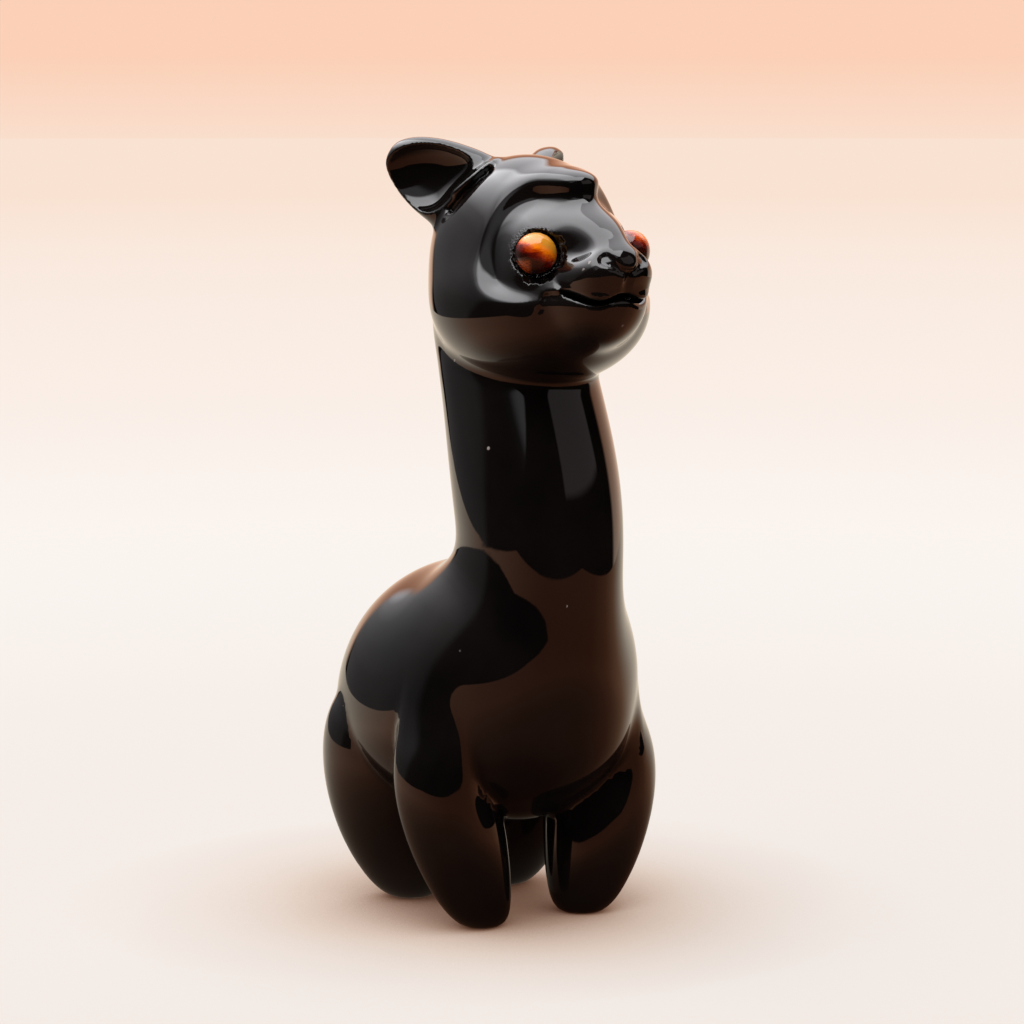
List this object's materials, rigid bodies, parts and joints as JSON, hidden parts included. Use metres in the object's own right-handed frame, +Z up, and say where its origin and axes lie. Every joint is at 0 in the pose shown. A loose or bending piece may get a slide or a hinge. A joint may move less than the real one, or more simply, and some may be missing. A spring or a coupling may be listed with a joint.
{
  "type": "llama figurine",
  "caption": "Standing llama figurine carved in polished black obsidian, with domed tiger's-eye eyes in drilled sockets.",
  "frame": {"origin": "on the ground, below the middle of the whole width and length", "axes": "+Z up through the head; the llama faces -Y and its own left side is at +X"},
  "size_m": [0.0298, 0.045, 0.0787],
  "materials": {
    "obsidian": "polished",
    "tigers_eye": "polished"
  },
  "bodies": {
    "root": {"body": "obsidian", "right_eye": "tigers_eye", "left_eye": "tigers_eye"}
  },
  "joints": []
}
